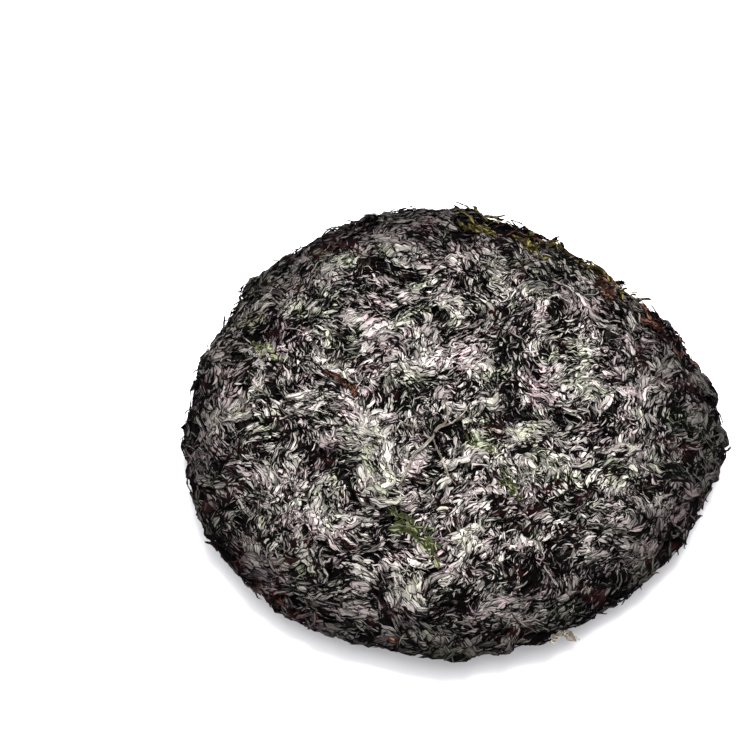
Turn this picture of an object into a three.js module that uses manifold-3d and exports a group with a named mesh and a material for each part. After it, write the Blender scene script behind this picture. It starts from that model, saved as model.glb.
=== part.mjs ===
// A round cake of dried laver: crumpled blades of the seaweed, pressed together and dried into one mat.
// Most blades are purple-black and dried fast to each other. A few green, olive, russet and straw-coloured
// ones lie in the face and the rim as pieces of their own.
// Millimetres, +Z up. The cake lies on the table, z = 0, with the origin under the middle of its box.
import * as THREE from "three";
import { mergeVertices } from "three/addons/utils/BufferGeometryUtils.js";
import Module from "manifold-3d";

const wasm = await Module();
wasm.setup();

// The cake's outline: a circle with shallow swells, each with its lobes, height and one lobe's direction.
const CAKE_RADIUS = 105;
const OUTLINE_SWELLS = [
  { lobes: 2, height: 1.6, peak: -34 },
  { lobes: 3, height: 2.9, peak: -13 },
  { lobes: 4, height: 1.2, peak: 3 },
  { lobes: 5, height: 0.7, peak: 0 },
];

// The cake's section: a flat round pad whose rim is drawn in, and stands clear of the table.
const MIDDLE_HEIGHT = 9.2;
const HALF_THICKNESS = 6.9;
const RIM_RISE = 2.4;
const RIM_SQUARENESS = 4;
const FACE_SWELL = 1.3;
const UNDERSIDE_SWELL = 0.5;

// Three low places under the cake, which the table has pressed flat.
const FEET = { count: 3, ring: 60, turn: 40, drop: 3.9, spread: 10, clear: 17 };

// The skin of the mat is crumpled into narrow folds: their spacing across and along, and their height, on the
// face and under the cake. The drift waves them, and they swirl round the eddies, apart from those past the
// still share of the radius. No facet is squeezed to less than the least area.
const FOLDS = {
  across: 2.7,
  along: 9.5,
  height: 1.3,
  across_under: 6,
  along_under: 16,
  height_under: 0.5,
  drift: 5,
  still: 0.97,
  least: 1.2,
  seed: 2,
};
const UNDER_FROM = -0.9;
const EDDIES = [
  { x: -4, y: 49, reach: 19, turn: 120 },
  { x: 29, y: 58, reach: 15, turn: -90 },
  { x: 52, y: 10, reach: 20, turn: -130 },
  { x: 18, y: 15, reach: 15, turn: 90 },
  { x: -3, y: -9, reach: 20, turn: -130 },
  { x: -43, y: 30, reach: 18, turn: 110 },
  { x: -69, y: 6, reach: 18, turn: -110 },
  { x: -39, y: -29, reach: 19, turn: 120 },
  { x: -45, y: -67, reach: 18, turn: -100 },
  { x: -2, y: -55, reach: 19, turn: 120 },
  { x: 31, y: -73, reach: 18, turn: -110 },
  { x: 39, y: -31, reach: 19, turn: 120 },
  { x: 67, y: -39, reach: 15, turn: -90 },
];

// One loose blade of laver: a narrow arched leaf, pointed at both ends, with a crest that rises and falls.
const BLADE = { stations: 3, sink: 0.3, keel: 1.9, thickness: 0.9, edge: 0.7, waver: 0.28 };

// Numbers and sizes of the loose purple-black blades on the face, round the rim and under the cake. Some of
// those round the rim have a tip that reaches off it.
const FACE_BLADES = { count: 20, length: [18, 28], width: [7, 11], crest: [1.7, 2.6], seed: 11 };
const RIM_BLADES = { count: 38, length: [18, 30], width: [5, 8], crest: [1.6, 2.8], seed: 23 };
const UNDER_BLADES = { count: 6, length: [22, 30], width: [7, 10], crest: [1.0, 1.6], seed: 37 };
const STRAY_EVERY = 2;
const STRAY_REACH = [2.5, 5];

// Small dark pits between the blades of the face: place, radius and depth.
const PITS = [
  { x: -4.2, y: 51, radius: 3.2, depth: 6 },
  { x: 21.7, y: 27.6, radius: 3.0, depth: 6 },
  { x: 51.4, y: 11.2, radius: 3.4, depth: 6 },
  { x: 3.2, y: -1.3, radius: 2.6, depth: 5 },
  { x: -11.2, y: -10.8, radius: 3.4, depth: 5 },
  { x: 21, y: 61.9, radius: 4.2, depth: 6 },
  { x: -67.2, y: 10.3, radius: 3.0, depth: 5 },
  { x: -44.9, y: -71.2, radius: 3.0, depth: 5 },
];
const PIT_SIDES = 6;
const PIT_CLEAR = 3;

// Blades of another colour, each a piece of its own, laid in a bed of the mat with a small gap round it.
// Slivers that joining and cutting leave are closed up: those with a side this short or as flat as this.
const BED_GAP = 0.55;
const SHORT_SIDE = 0.05;
const FLAT_HEIGHT = 0.01;
const COLOURS = {
  purple_black: { color: 0x1d181b, roughness: 0.42 },
  green: { color: 0x4d5a26, roughness: 0.5 },
  olive: { color: 0x6e6c22, roughness: 0.5 },
  russet: { color: 0x55271a, roughness: 0.5 },
  straw: { color: 0xb9a878, roughness: 0.55 },
};
const FACE_PIECES = [
  { name: "green_blade_front", colour: "green", x: -24, y: -38, heading: -54, length: 40, width: 14 },
  { name: "green_blade_middle", colour: "green", x: 8, y: -10, heading: -31, length: 17, width: 10 },
  { name: "green_blade_right", colour: "green", x: 22, y: -25, heading: -68, length: 18, width: 9 },
  { name: "green_blade_left", colour: "green", x: -80, y: 37, heading: -36, length: 20, width: 10 },
  { name: "russet_blade_left", colour: "russet", x: -48, y: 24, heading: -46, length: 21, width: 8 },
];
const RIM_PIECES = [
  {
    name: "olive_blade_back", colour: "olive",
    angle: 87, climb: 42, sweep: -12, rise: 8, width: 7, flare: 2,
  },
  {
    name: "olive_blade_back_right", colour: "olive",
    angle: 73, climb: 48, sweep: -13, rise: 5, width: 8, flare: 2,
  },
  {
    name: "russet_blade_back_right", colour: "russet",
    angle: 48, climb: 40, sweep: -11, rise: 8, width: 8, flare: 3,
  },
  {
    name: "russet_blade_right", colour: "russet",
    angle: 35, climb: 44, sweep: -12, rise: -8, width: 8, flare: 3,
  },
  {
    name: "straw_frond_front", colour: "straw",
    angle: -68, climb: 6, sweep: 7, rise: -30, width: 8, flare: 9,
  },
];

const GOLDEN_ANGLE = Math.PI * (3 - Math.sqrt(5));
const radians = THREE.MathUtils.degToRad;
const lerp = THREE.MathUtils.lerp;

// A generator of the same numbers from 0 to 1 each time, for a given seed.
function seededRandom(seed) {
  let state = seed;
  return () => {
    state = (state + 0x6d2b79f5) | 0;
    let mixed = Math.imul(state ^ (state >>> 15), 1 | state);
    mixed = (mixed + Math.imul(mixed ^ (mixed >>> 7), 61 | mixed)) ^ mixed;
    return ((mixed ^ (mixed >>> 14)) >>> 0) / 4294967296;
  };
}

function outlineRadius(angle) {
  let radius = CAKE_RADIUS;
  for (const { lobes, height, peak } of OUTLINE_SWELLS) {
    radius += height * Math.cos(lobes * (angle - radians(peak)));
  }
  return radius;
}

// The direction in which the blades of the face run, which drifts and turns from place to place.
function grainHeading(x, y) {
  return (
    -0.5 +
    1.1 * Math.sin(x / 27 + y / 41 + 0.6) +
    0.8 * Math.cos(y / 19 - x / 33) +
    0.5 * Math.sin((x + y) / 13)
  );
}

function faceSwell(x, y) {
  return FACE_SWELL * (Math.sin(x / 15 + 0.8) * Math.cos(y / 18 - 0.4) + 0.5 * Math.sin((x - y) / 9 + 1));
}

function undersideSwell(x, y) {
  return UNDERSIDE_SWELL * Math.sin(x / 9) * Math.cos(y / 11);
}

function footDrop(x, y) {
  let drop = 0;
  for (let foot = 0; foot < FEET.count; foot += 1) {
    const away = Math.hypot(x - footPlace(foot).x, y - footPlace(foot).y);
    drop += FEET.drop * Math.exp(-(away ** 2) / (2 * FEET.spread ** 2));
  }
  return drop;
}

function footPlace(foot) {
  const angle = radians(FEET.turn + (360 / FEET.count) * foot);
  return { x: FEET.ring * Math.cos(angle), y: FEET.ring * Math.sin(angle) };
}

// A point of the cake's skin. The angle goes round the cake, and the climb runs from -90 degrees at the
// middle of the underside through 0 at the rim to 90 degrees at the middle of the face.
function skinPoint(angle, climb) {
  const share = Math.cos(climb) ** (1 / RIM_SQUARENESS);
  const radius = share * outlineRadius(angle);
  const x = radius * Math.cos(angle);
  const y = radius * Math.sin(angle);
  const level = MIDDLE_HEIGHT + RIM_RISE * share ** 4;
  const bulge = climb > 0 ? faceSwell(x, y) : undersideSwell(x, y) - footDrop(x, y);
  const z = level + HALF_THICKNESS * Math.sin(climb) + bulge * Math.abs(Math.sin(climb));
  return new THREE.Vector3(x, y, z);
}

function skinNormal(angle, climb) {
  const share = Math.cos(climb) ** (1 / RIM_SQUARENESS);
  const outward = (2 * RIM_SQUARENESS * share ** (2 * RIM_SQUARENESS - 1)) / outlineRadius(angle);
  const upward = (2 * Math.sin(climb)) / HALF_THICKNESS;
  return new THREE.Vector3(outward * Math.cos(angle), outward * Math.sin(angle), upward).normalize();
}

// The same two, for a place given from above. side is 1 on the face and -1 on the underside.
function placeOnSide(x, y, side) {
  const angle = Math.atan2(y, x);
  const share = Math.min(1, Math.hypot(x, y) / outlineRadius(angle));
  return { angle, climb: side * Math.acos(share ** RIM_SQUARENESS) };
}

function solidOf(geometry, tolerance = 1e-4) {
  const bare = geometry.clone();
  bare.deleteAttribute("normal");
  bare.deleteAttribute("uv");
  const merged = mergeVertices(bare, tolerance);
  return new wasm.Manifold(
    new wasm.Mesh({
      numProp: 3,
      vertProperties: new Float32Array(merged.getAttribute("position").array),
      triVerts: new Uint32Array(merged.index.array),
    }),
  );
}

function geometryFrom(points, triangles) {
  const geometry = new THREE.BufferGeometry().setFromPoints(points);
  geometry.setIndex(triangles.flat());
  return geometry;
}

// The climbs of the rings of folds: close together on the face, and wider apart underneath.
function foldClimbs() {
  const fine = 4000;
  const climbAt = (step) => {
    const share = Math.sin((Math.PI / 2) * (1 - Math.abs((2 * step) / fine - 1)));
    return Math.sign(fine / 2 - step) * Math.acos(share ** RIM_SQUARENESS);
  };
  const climbs = [Math.PI / 2];
  let before = skinPoint(0, climbs[0]);
  let walked = 0;
  for (let step = 1; step < fine; step += 1) {
    const climb = climbAt(step);
    const here = skinPoint(0, climb);
    const across = climb > UNDER_FROM ? FOLDS.across : FOLDS.across_under;
    walked += Math.hypot(here.x - before.x, here.z - before.z) / across;
    before = here;
    if (walked >= climbs.length && Math.hypot(here.x, here.y) > 1.2) climbs.push(climb);
  }
  climbs.push(-Math.PI / 2);
  return climbs;
}

// Turns a place of the face about each eddy, most at its middle, so that the folds swirl round it.
function stirred(x, y, share) {
  const calm = 1 - share ** 6;
  let placeX = x + calm * FOLDS.drift * Math.sin(y / 15 + x / 60 + 0.7);
  let placeY = y + calm * FOLDS.drift * Math.sin(x / 17 - y / 50 + 2.1);
  for (const eddy of EDDIES) {
    const away = Math.hypot(placeX - eddy.x, placeY - eddy.y);
    const turn = radians(eddy.turn) * Math.exp(-((away / eddy.reach) ** 2)) * calm;
    const fromX = placeX - eddy.x;
    const fromY = placeY - eddy.y;
    placeX = eddy.x + fromX * Math.cos(turn) - fromY * Math.sin(turn);
    placeY = eddy.y + fromX * Math.sin(turn) + fromY * Math.cos(turn);
  }
  return { x: placeX, y: placeY };
}

// Eases apart the corners of triangles that the stirring has crossed or squeezed flat, seen from above.
function easeApart(spots, triangles) {
  const near = spots.map(() => new Set());
  for (const triangle of triangles) {
    for (const corner of triangle) triangle.forEach((other) => other !== corner && near[corner].add(other));
  }
  for (let round = 0; round < 200; round += 1) {
    const crossed = new Set();
    for (const triangle of triangles) {
      const [a, b, c] = triangle.map((corner) => spots[corner]);
      const turn = (b.x - a.x) * (c.y - a.y) - (b.y - a.y) * (c.x - a.x);
      const side = Math.sign(a.climb + b.climb + c.climb);
      if (turn * side < 2 * FOLDS.least) triangle.forEach((corner) => crossed.add(corner));
    }
    const moved = [...crossed].filter((corner) => spots[corner].share < FOLDS.still);
    if (moved.length === 0) return;
    for (const corner of moved) {
      const around = [...near[corner]].map((other) => spots[other]);
      const middleX = around.reduce((sum, spot) => sum + spot.x, 0) / around.length;
      const middleY = around.reduce((sum, spot) => sum + spot.y, 0) / around.length;
      spots[corner].x = lerp(spots[corner].x, middleX, 0.5);
      spots[corner].y = lerp(spots[corner].y, middleY, 0.5);
    }
  }
}

// The matted blades, whose skin is crumpled into folds: rings of points from the middle of the face over the
// rim to the middle of the underside, stirred, and raised and sunk by turns.
function foldedSolid() {
  const random = seededRandom(FOLDS.seed);
  const climbs = foldClimbs();
  const spots = [];
  const starts = [];
  const sizes = [];
  climbs.forEach((climb, ring) => {
    const share = Math.cos(climb) ** (1 / RIM_SQUARENESS);
    const around = climb > UNDER_FROM ? FOLDS.along : FOLDS.along_under;
    const size = share < 0.01 ? 1 : Math.max(5, Math.round((2 * Math.PI * share * CAKE_RADIUS) / around));
    const height = climb > UNDER_FROM ? FOLDS.height : FOLDS.height_under;
    const offset = random();
    starts.push(spots.length);
    sizes.push(size);
    for (let step = 0; step < size; step += 1) {
      const angle = (2 * Math.PI * (step + offset + 0.3 * random())) / size;
      const radius = share * outlineRadius(angle);
      const place = stirred(radius * Math.cos(angle), radius * Math.sin(angle), share);
      const rise = (ring % 2 ? 1 : -1) * height * lerp(0.15, 1, random()) + (random() - 0.5) * height * 0.6;
      spots.push({ ...place, angle, climb, share, rise });
    }
  });
  const triangles = [];
  for (let ring = 0; ring + 1 < climbs.length; ring += 1) {
    joinRings(triangles, starts[ring], sizes[ring], starts[ring + 1], sizes[ring + 1]);
  }
  easeApart(spots, triangles);
  const points = spots.map(({ x, y, angle, climb, share, rise }) => {
    const moved = share < FOLDS.still ? placeOnSide(x, y, Math.sign(climb)) : { angle, climb };
    const normal = skinNormal(moved.angle, moved.climb);
    return skinPoint(moved.angle, moved.climb).addScaledVector(normal, rise);
  });
  return solidOf(geometryFrom(points, triangles));
}

// Fills the band between two closed rings of points, which may differ in number.
function joinRings(triangles, startA, sizeA, startB, sizeB) {
  let a = 0;
  let b = 0;
  while (a < sizeA || b < sizeB) {
    const takeB = a >= sizeA || (b < sizeB && (b + 1) / sizeB <= (a + 1) / sizeA);
    if (takeB) {
      if (sizeB > 1) triangles.push([startA + (a % sizeA), startB + b, startB + ((b + 1) % sizeB)]);
      b += 1;
    } else {
      if (sizeA > 1) triangles.push([startA + a, startB + (b % sizeB), startA + ((a + 1) % sizeA)]);
      a += 1;
    }
  }
}

// The section of a blade as places across it and heights over the skin. edge is the thickness of its edges,
// which are sharp on a blade that is fused into the mat.
function bladeSection(half, rise, depth, tilt, edge) {
  const slope = (tilt * half) / 2;
  if (edge === 0) return [[half, slope], [tilt * half, rise], [-half, -slope], [tilt * half, depth]];
  return [
    [half, slope + edge / 2],
    [tilt * half, rise],
    [-half, edge / 2 - slope],
    [-half, -edge / 2 - slope],
    [tilt * half, depth],
    [half, slope - edge / 2],
  ];
}

// A blade from tip to tip over a list of stations on the skin. Each station has its place, its height over
// the skin, and its share of the full width and crest. grow makes it larger all round, to cut its bed.
function bladeSolid(stations, width, crest, edge = 0, grow = 0) {
  const points = stations.map(({ angle, climb, reach }) => {
    const normal = skinNormal(angle, climb);
    return skinPoint(angle, climb).addScaledVector(normal, reach);
  });
  const vertices = [];
  const last = stations.length - 1;
  const sides = edge === 0 ? 4 : 6;
  stations.forEach(({ angle, climb, reach, share, tilt }, index) => {
    const along = points[Math.min(last, index + 1)].clone().sub(points[Math.max(0, index - 1)]).normalize();
    if (index === 0 || index === last) {
      const outwards = index === 0 ? -grow : grow;
      vertices.push(points[index].clone().addScaledVector(along, outwards * 4));
      return;
    }
    const normal = skinNormal(angle, climb);
    const across = new THREE.Vector3().crossVectors(normal, along).normalize();
    const half = (width * share) / 2 + grow;
    const rise = crest * share + grow;
    const hollow = grow > 0 ? -edge / 2 - grow : rise - BLADE.thickness;
    const depth = reach > 0 ? hollow : BLADE.sink - BLADE.keel - grow;
    const grownEdge = edge === 0 ? 0 : edge + 2 * grow;
    for (const [sideways, height] of bladeSection(half, rise, depth, tilt, grownEdge)) {
      vertices.push(points[index].clone().addScaledVector(across, sideways).addScaledVector(normal, height));
    }
  });
  const triangles = [];
  const far = vertices.length - 1;
  for (let side = 0; side < sides; side += 1) {
    const next = (side + 1) % sides;
    triangles.push([0, 1 + side, 1 + next]);
    triangles.push([far, far - sides + next, far - sides + side]);
    for (let start = 1; start + 2 * sides <= far; start += sides) {
      triangles.push([start + side, start + sides + side, start + next]);
      triangles.push([start + next, start + sides + side, start + sides + next]);
    }
  }
  const made = solidOf(geometryFrom(vertices, triangles));
  if (made.volume() > 0) return made;
  return solidOf(geometryFrom(vertices, triangles.map(([a, b, c]) => [a, c, b])));
}

// Stations of a blade that follows the grain over the face or the underside.
function stationsOnSide({ x, y, side, heading, length, random }) {
  const count = BLADE.stations + 2;
  const curl = (random() - 0.5) * 1.1;
  const stations = [];
  let turned = heading;
  let placeX = x;
  let placeY = y;
  for (let index = 0; index < count; index += 1) {
    const along = index / (count - 1);
    const waver = index % 2 ? BLADE.waver : -BLADE.waver;
    stations.push({
      ...placeOnSide(placeX, placeY, side),
      reach: -BLADE.sink,
      share: Math.sin(Math.PI * along) ** 0.55 * lerp(0.8, 1.15, random()),
      tilt: waver * lerp(0.4, 1.4, random()),
    });
    turned = heading + curl * along + waver * 0.5;
    placeX += (length / (count - 1)) * Math.cos(turned);
    placeY += (length / (count - 1)) * Math.sin(turned);
  }
  return stations;
}

// Stations of a blade that runs round the rim. flare lifts its far end off the rim as a loose tip.
function stationsOnRim({ angle, climb, sweep, rise, flare, random }) {
  const count = BLADE.stations + 2;
  const stations = [];
  for (let index = 0; index < count; index += 1) {
    const along = index / (count - 1);
    const waver = index % 2 ? BLADE.waver : -BLADE.waver;
    stations.push({
      angle: angle + sweep * along,
      climb: THREE.MathUtils.clamp(climb + rise * along, radians(-80), radians(80)),
      reach: flare > 0 && along > 0.45 ? flare * (along - 0.3) ** 1.2 : -BLADE.sink,
      share: Math.sin(Math.PI * along) ** 0.55 * lerp(0.8, 1.15, random()),
      tilt: waver * lerp(0.4, 1.4, random()),
    });
  }
  return stations;
}

function keepsClear(x, y, places, margin) {
  return places.every((place) => Math.hypot(x - place.x, y - place.y) > margin + (place.radius ?? 0));
}

// Blades over one side of the cake, spread evenly like the seeds of a sunflower, and turned to the grain.
function sideBlades({ count, length, width, crest, seed }, side, clearPlaces) {
  const random = seededRandom(seed);
  const blades = [];
  for (let index = 0; index < count; index += 1) {
    const radius = (CAKE_RADIUS - 5) * Math.sqrt((index + 0.5) / count);
    const angle = index * GOLDEN_ANGLE + random() * 0.1;
    const x = radius * Math.cos(angle);
    const y = radius * Math.sin(angle);
    const long = lerp(...length, random());
    const heading = grainHeading(x, y) + (random() - 0.5) * 0.7;
    const spec = {
      x: x - (long / 2) * Math.cos(heading),
      y: y - (long / 2) * Math.sin(heading),
      side,
      heading,
      length: long,
      random,
    };
    const stations = stationsOnSide(spec);
    const solid = bladeSolid(stations, lerp(...width, random()), lerp(...crest, random()) + BLADE.sink);
    if (keepsClear(x, y, clearPlaces, 0)) blades.push(solid);
  }
  return blades;
}

// Blades round the rim, every few of them with a loose tip.
function rimBlades({ count, length, width, crest, seed }) {
  const random = seededRandom(seed);
  const blades = [];
  for (let index = 0; index < count; index += 1) {
    const stray = index % STRAY_EVERY === 0;
    const way = random() < 0.5 ? -1 : 1;
    const spec = {
      angle: (2 * Math.PI * (index + 0.6 * random())) / count,
      climb: radians(lerp(-38, 48, random())),
      sweep: (way * lerp(...length, random())) / CAKE_RADIUS,
      rise: radians(lerp(-35, 35, random())),
      flare: stray ? lerp(...STRAY_REACH, random()) : 0,
      random,
    };
    const wide = lerp(...width, random());
    blades.push(bladeSolid(stationsOnRim(spec), wide, lerp(...crest, random()) + BLADE.sink));
  }
  return blades;
}

function pitSolid({ x, y, radius, depth }) {
  const { angle, climb } = placeOnSide(x, y, 1);
  const pit = new THREE.ConeGeometry(radius * 1.5, depth * 2, PIT_SIDES);
  pit.rotateX(-Math.PI / 2);
  pit.translate(x, y, skinPoint(angle, climb).z);
  return solidOf(pit);
}

function tableBlock() {
  const block = new THREE.BoxGeometry(4 * CAKE_RADIUS, 4 * CAKE_RADIUS, 40);
  block.translate(0, 0, -20);
  return solidOf(block);
}

// The largest body of a solid. Loose scraps are dropped and sealed hollows filled.
function wholeBody(solid) {
  return solid.decompose().reduce((best, body) => (body.volume() > best.volume() ? body : best));
}

// The coloured pieces, each as its stations and sizes, so that it can be made at size and grown.
function colouredPieces() {
  const pieces = [];
  for (const piece of FACE_PIECES) {
    const random = seededRandom(pieces.length + 71);
    const spec = { ...piece, side: 1, heading: radians(piece.heading), random };
    pieces.push({ ...piece, crest: 2.6, stations: stationsOnSide(spec) });
  }
  for (const piece of RIM_PIECES) {
    const random = seededRandom(pieces.length + 71);
    const turned = Object.fromEntries(
      ["angle", "climb", "sweep", "rise"].map((key) => [key, radians(piece[key])]),
    );
    pieces.push({ ...piece, crest: 2.4, stations: stationsOnRim({ ...piece, ...turned, random }) });
  }
  return pieces;
}

function geometryOf(solid) {
  const mesh = solid.getMesh();
  const geometry = new THREE.BufferGeometry();
  geometry.setAttribute("position", new THREE.BufferAttribute(mesh.vertProperties, mesh.numProp));
  geometry.setIndex(new THREE.BufferAttribute(mesh.triVerts, 1));
  return geometry;
}

// How thin a triangle is: its height over its longest side, and which of its sides are longest and shortest.
function thinness(points, triangle) {
  const lengths = triangle.map((corner, side) => points[corner].distanceTo(points[triangle[(side + 1) % 3]]));
  const longest = lengths.indexOf(Math.max(...lengths));
  const shortest = lengths.indexOf(Math.min(...lengths));
  const [from, to, tip] = [0, 1, 2].map((step) => points[triangle[(longest + step) % 3]]);
  const height = (2 * new THREE.Triangle(from, to, tip).getArea()) / lengths[longest];
  return { height, longest, shortest, needle: lengths[shortest] < SHORT_SIDE };
}

function spread(points, [a, b, c]) {
  const side = points[b].clone().sub(points[a]);
  return side.cross(points[c].clone().sub(points[a]));
}

// Draws one corner onto another, unless that would turn a face over or tie the skin in a knot.
function drawTogether(points, triangles, kept, gone) {
  const around = (corner) => triangles.filter((face) => face.includes(corner));
  const goneFaces = around(gone);
  const goneCorners = new Set(goneFaces.flat());
  const shared = [...new Set(around(kept).flat())].filter((corner) => goneCorners.has(corner));
  const swapped = (face) => face.map((corner) => (corner === gone ? kept : corner));
  const turnsOver = goneFaces.some((face) => {
    return !face.includes(kept) && spread(points, face).dot(spread(points, swapped(face))) <= 0;
  });
  if (shared.length !== 4 || turnsOver) return null;
  return triangles.map(swapped).filter(([a, b, c]) => a !== b && b !== c && c !== a);
}

// Closes one sliver: a needle by drawing its short side together, and a flat one by turning its long side.
function closeSliver(points, triangles, index, thin, sides) {
  const triangle = triangles[index];
  const [from, to, tip] = [0, 1, 2].map((step) => triangle[(thin.longest + step) % 3]);
  const [one, other] = [triangle[thin.shortest], triangle[(thin.shortest + 1) % 3]];
  if (thin.needle) {
    const drawn = drawTogether(points, triangles, one, other) ?? drawTogether(points, triangles, other, one);
    if (drawn) return drawn;
  }
  const beyond = sides.get(`${to},${from}`);
  const far = triangles[beyond].find((corner) => corner !== from && corner !== to);
  if (sides.has(`${tip},${far}`) || sides.has(`${far},${tip}`)) return triangles;
  const turned = [...triangles];
  turned[index] = [from, far, tip];
  turned[beyond] = [far, to, tip];
  const facing = spread(points, triangle).add(spread(points, triangles[beyond]));
  const keeps = [turned[index], turned[beyond]].every((face) => spread(points, face).dot(facing) > 0);
  return keeps ? turned : triangles;
}

// A copy of a closed mesh without the slivers that cutting and joining leave.
function mended(geometry) {
  const merged = mergeVertices(geometry, 1e-4);
  const places = merged.getAttribute("position");
  const points = Array.from({ length: places.count }, (_, index) => {
    return new THREE.Vector3().fromBufferAttribute(places, index);
  });
  let triangles = Array.from({ length: merged.index.count / 3 }, (_, index) => {
    return [...merged.index.array.slice(3 * index, 3 * index + 3)];
  });
  triangles = triangles.filter(([a, b, c]) => a !== b && b !== c && c !== a);
  const tried = new Set();
  for (let closed = 0; closed < 3000; closed += 1) {
    let thin;
    const found = triangles.findIndex((triangle) => {
      if (tried.has(triangle.join())) return false;
      thin = thinness(points, triangle);
      return thin.needle || thin.height < FLAT_HEIGHT;
    });
    if (found < 0) break;
    tried.add(triangles[found].join());
    const sides = new Map();
    triangles.forEach(([a, b, c], index) => {
      sides.set(`${a},${b}`, index).set(`${b},${c}`, index).set(`${c},${a}`, index);
    });
    triangles = closeSliver(points, triangles, found, thin, sides);
  }
  return geometryFrom(points, triangles);
}

// A named mesh, mended where the cuts left slivers.
function meshOf(name, colour, geometry) {
  const settled = geometryOf(wholeBody(solidOf(mended(geometry))));
  settled.computeVertexNormals();
  const made = new THREE.Mesh(settled, new THREE.MeshStandardMaterial({ ...COLOURS[colour], metalness: 0 }));
  made.name = name;
  return made;
}

const pieces = colouredPieces();
const pieceMiddles = FACE_PIECES.map(({ x, y, heading, length }) => ({
  x: x + (length / 2) * Math.cos(radians(heading)),
  y: y + (length / 2) * Math.sin(radians(heading)),
  radius: 5,
}));
const pitPlaces = PITS.map((pit) => ({ ...pit, radius: pit.radius + PIT_CLEAR }));
const feet = Array.from({ length: FEET.count }, (_, foot) => ({ ...footPlace(foot), radius: FEET.clear }));

const pitted = foldedSolid().subtract(wasm.Manifold.union(PITS.map(pitSolid)));
const blades = [
  ...sideBlades(FACE_BLADES, 1, [...pitPlaces, ...pieceMiddles]),
  ...sideBlades(UNDER_BLADES, -1, feet),
  ...rimBlades(RIM_BLADES),
];
const beds = pieces.map(({ stations, width, crest }) => {
  return bladeSolid(stations, width, crest, BLADE.edge, BED_GAP);
});
const matted = wasm.Manifold.union([pitted, ...blades]);
const mat = wholeBody(matted.subtract(wasm.Manifold.union([tableBlock(), ...beds])));

const parts = [{ name: "laver_mat", colour: "purple_black", geometry: geometryOf(mat) }];
for (const { name, colour, stations, width, crest } of pieces) {
  parts.push({ name, colour, geometry: geometryOf(bladeSolid(stations, width, crest, BLADE.edge)) });
}
const box = new THREE.Box3();
for (const { geometry } of parts) {
  geometry.computeBoundingBox();
  box.union(geometry.boundingBox);
}
const middle = box.getCenter(new THREE.Vector3());

const cake = new THREE.Group();
for (const { name, colour, geometry } of parts) {
  geometry.translate(-middle.x, -middle.y, -box.min.z);
  cake.add(meshOf(name, colour, geometry));
}

export default cake;
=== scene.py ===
"""A dried laver cake: a round mat of crumpled seaweed fronds, dressed over its CAD solids."""

import math

import bmesh
import bpy
import numpy as np
from bpy.props import FloatProperty, PointerProperty
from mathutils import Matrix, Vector
from mathutils.bvhtree import BVHTree


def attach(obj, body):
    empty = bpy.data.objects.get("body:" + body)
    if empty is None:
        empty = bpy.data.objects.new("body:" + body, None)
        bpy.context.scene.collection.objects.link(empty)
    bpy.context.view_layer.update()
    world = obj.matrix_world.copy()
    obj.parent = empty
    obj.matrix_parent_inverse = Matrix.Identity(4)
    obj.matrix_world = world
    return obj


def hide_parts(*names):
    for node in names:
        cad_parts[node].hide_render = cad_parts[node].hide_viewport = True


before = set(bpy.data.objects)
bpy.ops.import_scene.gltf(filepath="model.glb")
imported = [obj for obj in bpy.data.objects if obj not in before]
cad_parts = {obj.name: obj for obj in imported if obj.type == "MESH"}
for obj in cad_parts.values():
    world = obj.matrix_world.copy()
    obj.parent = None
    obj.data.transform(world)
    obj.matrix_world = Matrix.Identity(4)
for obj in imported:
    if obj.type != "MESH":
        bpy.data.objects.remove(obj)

bl_info = {
    "name": "Dried Laver Cake",
    "version": (1, 0, 0),
    "blender": (4, 5, 0),
    "location": "3D Viewport > Sidebar > Laver",
    "description": "Dresses a pressed cake of dried laver with folds, strands and loose blades",
    "category": "Add Mesh",
}

MM = 0.001
TINY = 1e-6
MAT = "laver_mat"
BED = "laver_bed"

# Linear colours of the creases and the skin, the skin's two other hues, and the stains in the
# creases. The creases are painted near black as shade in the folds, over the laver's own dark
# colour; the skin is pale partly as painted sheen.
BLACK = (0.0012, 0.0008, 0.001)
PALE = (0.46, 0.425, 0.395)
PINK = (0.46, 0.36, 0.37)
GREEN = (0.4, 0.42, 0.3)
STAINS = ((0.0008, 0.0015, 0.0006), (0.009, 0.0024, 0.0024))

# The disc that the outline swells out of: its centre, its radius, and each swell as
# (lobes, height, angle of a peak). Places below are measured from that centre.
HEART = np.array((-2.66, -1.36))
RADIUS = 105.0
SWELLS = ((2, 1.6, -34), (3, 2.9, -13), (4, 1.2, 3), (5, 0.7, 0))
# The lay of the fronds. Each eddy is (x, y, reach, turn): millimetres and degrees.
EDDIES = (
    (-4, 49, 19, 120),
    (29, 58, 15, -90),
    (52, 10, 20, -130),
    (18, 15, 15, 90),
    (-3, -9, 20, -130),
    (-43, 30, 18, 110),
    (-69, 6, 18, -110),
    (-39, -29, 19, 120),
    (-45, -67, 18, -100),
    (-2, -55, 19, 120),
    (31, -73, 18, -110),
    (39, -31, 19, 120),
    (67, -39, 15, -90),
)
# Long waves in the lay: how far they drift, and the two lengths and the phase of each.
LAY_DRIFT = 5.0
DRIFT_X = (15, 60, 0.7)
DRIFT_Y = (17, 50, 2.1)
# Smaller swings of the grain: (angle, size, seed).
SWINGS = ((1.4, 14, 21), (0.5, 6, 22))
# Each pit is (x, y, radius) in millimetres, where the fronds turn round a dark hole.
PITS = (
    (-4.2, 51.0, 3.2),
    (21.7, 27.6, 3.0),
    (51.4, 11.2, 3.4),
    (3.2, -1.3, 2.6),
    (-11.2, -10.8, 3.4),
    (21.0, 61.9, 4.2),
    (-67.2, 10.3, 3.0),
    (-44.9, -71.2, 3.0),
    (8.0, -4.0, 2.0),
    (9.5, 70.0, 2.4),
    (14.0, -17.0, 1.8),
    (-5.0, 10.0, 1.8),
)
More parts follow.
